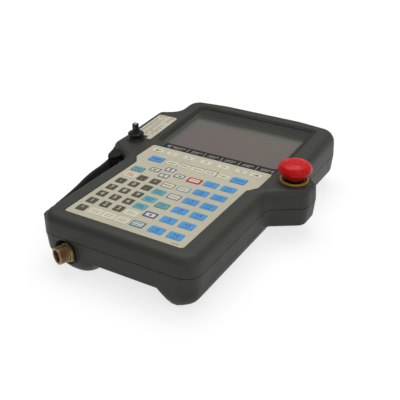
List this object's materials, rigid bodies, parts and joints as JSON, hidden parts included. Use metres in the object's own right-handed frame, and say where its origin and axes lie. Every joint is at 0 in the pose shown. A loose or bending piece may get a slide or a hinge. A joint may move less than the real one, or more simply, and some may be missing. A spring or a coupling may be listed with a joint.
{
  "type": "teach pendant",
  "caption": "Hand-held robot teach pendant with screen, membrane keypad, mushroom stop button, power switch, rear enabling levers, hand strap and round connector.",
  "frame": {"origin": "on the floor, under the middle of the bounding box", "axes": "+Y towards the screen end, +X to the operator's right, +Z out of the key face"},
  "size_m": [0.225, 0.3082, 0.072],
  "materials": {
    "housing_front": "fine moulded grain",
    "housing_rear": "fine moulded grain",
    "seal": "matte",
    "sheet": "fine matt polyester",
    "domes": "clear film",
    "board": "solder resist",
    "key_cream": "embossed film",
    "key_blue": "embossed film",
    "key_dark": "embossed film",
    "key_cyan": "embossed film",
    "key_red": "embossed film",
    "strip": "smooth",
    "window": "clear hard-coated sheet over a dark display",
    "panel": "satin",
    "bracket": "satin",
    "cable": "flat cable",
    "label": "printed film",
    "ring": "satin",
    "black": "satin",
    "steel": "turned",
    "stop_red": "smooth",
    "lever": "fine grain",
    "brass": "olive plated",
    "pins": "gold plated",
    "strap": "woven webbing"
  },
  "bodies": {
    "housing": {"front_housing": "housing_front", "rear_housing": "housing_rear", "housing_seal": "seal", "keypad_overlay": "sheet", "dome_sheet": "domes", "keypad_board": "board", "keys_cream": "key_cream", "keys_blue": "key_blue", "keys_dark": "key_dark", "keys_cyan": "key_cyan", "key_hold": "key_red", "status_strip": "strip", "display_window": "window", "display_panel": "panel", "display_bracket": "bracket", "main_board": "board", "board_screws": "steel", "ribbon_cable": "cable", "label_plate": "label", "estop_ring": "ring", "estop_bushing": "black", "estop_nut": "steel", "estop_contacts": "black", "power_base": "black", "power_switch": "black", "enable_switch_right": "black", "enable_switch_left": "black", "connector_gasket": "seal", "connector_nut": "brass", "connector_shell": "brass", "connector_insert": "black", "connector_pins": "pins", "hand_strap": "strap", "strap_bracket": "black", "strap_pin": "steel", "strap_clamp": "black", "strap_screws": "steel", "housing_screws": "steel"},
    "stop_slider": {"estop_plunger": "steel"},
    "stop_head": {"estop_button": "stop_red"},
    "power_knob": {"power_knob": "black"},
    "lever_right": {"enable_lever_right": "lever", "enable_pin_right": "steel"},
    "lever_left": {"enable_lever_left": "lever", "enable_pin_left": "steel"}
  },
  "joints": [
    {"name": "estop_push", "type": "slide", "parent": "housing", "child": "stop_slider", "axis": [0, 0, -1], "range_m": [0, 0.004], "stiffness_N_per_m": 400, "springref_m": -0.004},
    {"name": "estop_twist", "type": "hinge", "parent": "stop_slider", "child": "stop_head", "pos_m": [0.092, 0.02811, 0.0625], "axis": [0, 0, -1], "range_deg": [0, 45], "stiffness_Nm_per_rad": 0.05},
    {"name": "power_turn", "type": "hinge", "parent": "housing", "child": "power_knob", "pos_m": [-0.093, 0.03011, 0.0575], "axis": [0, 0, -1], "range_deg": [0, 90]},
    {"name": "enable_right", "type": "hinge", "parent": "housing", "child": "lever_right", "pos_m": [0.04056, -0.07489, 0.01346], "axis": [0, -1, 0], "range_deg": [0, 6], "stiffness_Nm_per_rad": 0.4, "springref_deg": -3.44},
    {"name": "enable_left", "type": "hinge", "parent": "housing", "child": "lever_left", "pos_m": [-0.02056, -0.07489, 0.01346], "axis": [0, 1, 0], "range_deg": [0, 6], "stiffness_Nm_per_rad": 0.4, "springref_deg": -3.44}
  ]
}
